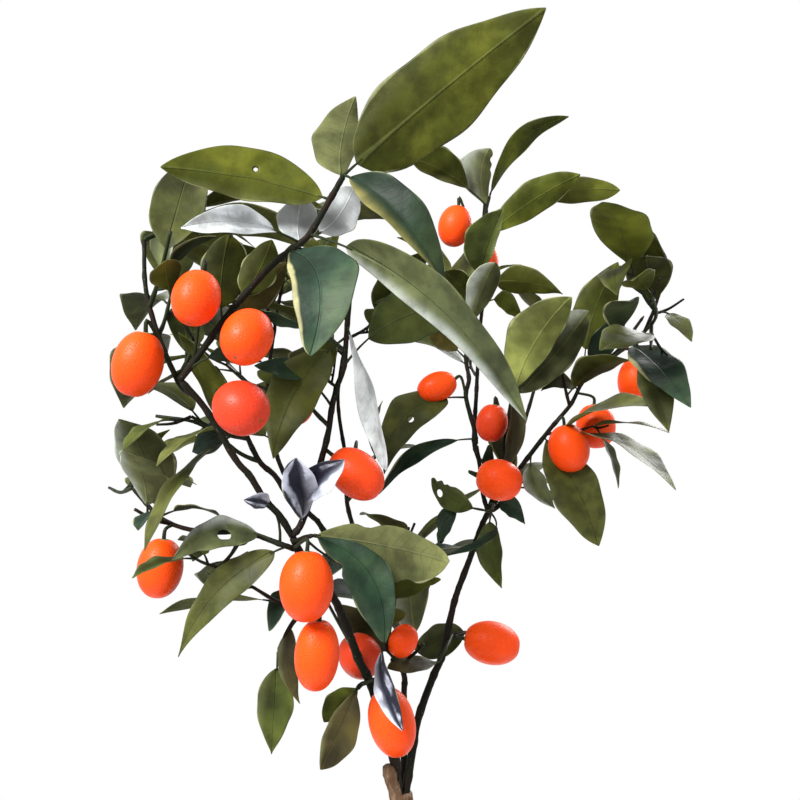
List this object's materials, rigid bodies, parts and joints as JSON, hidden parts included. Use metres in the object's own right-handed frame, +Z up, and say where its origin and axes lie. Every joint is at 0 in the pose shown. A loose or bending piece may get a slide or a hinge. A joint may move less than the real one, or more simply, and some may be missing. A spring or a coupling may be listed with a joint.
{
  "type": "kumquat tree",
  "caption": "Small potted kumquat tree: trunk, forked boughs, glossy pointed leaves and oval orange fruits, standing in a plain clay flowerpot filled with soil.",
  "frame": {"origin": "middle of the pot's flat underside", "axes": "+Z up along the tree, -Y towards the front of the crown, +X to the right seen from the front"},
  "size_m": [0.3038, 0.2485, 0.6878],
  "materials": {
    "pot": "unglazed fired clay",
    "soil": "loose potting soil",
    "bark": "rough brown bark",
    "green_wood": "smooth dark green bark",
    "foliage": "glossy leaves",
    "fruit": "glossy pitted rind"
  },
  "bodies": {
    "root": {"pot": "pot", "soil": "soil", "trunk": "bark", "bough_left": "green_wood", "bough_left_upper": "green_wood", "bough_right": "green_wood", "bough_right_tall": "green_wood", "bough_right_outer": "green_wood", "bough_middle": "green_wood", "bough_rear": "green_wood", "foliage_top_left": "foliage", "foliage_far_left": "foliage", "foliage_low_left": "foliage", "foliage_centre_top": "foliage", "foliage_centre_left": "foliage", "foliage_lower_left": "foliage", "foliage_lower_front": "foliage", "foliage_lower_centre": "foliage", "foliage_low_right": "foliage", "foliage_middle": "foliage", "foliage_top_right": "foliage", "foliage_right_middle": "foliage", "foliage_right_outer": "foliage", "foliage_rear_top": "foliage", "foliage_rear_right": "foliage", "foliage_rear_left": "foliage", "foliage_rear_centre": "foliage", "foliage_rear_low": "foliage"}
  },
  "joints": []
}
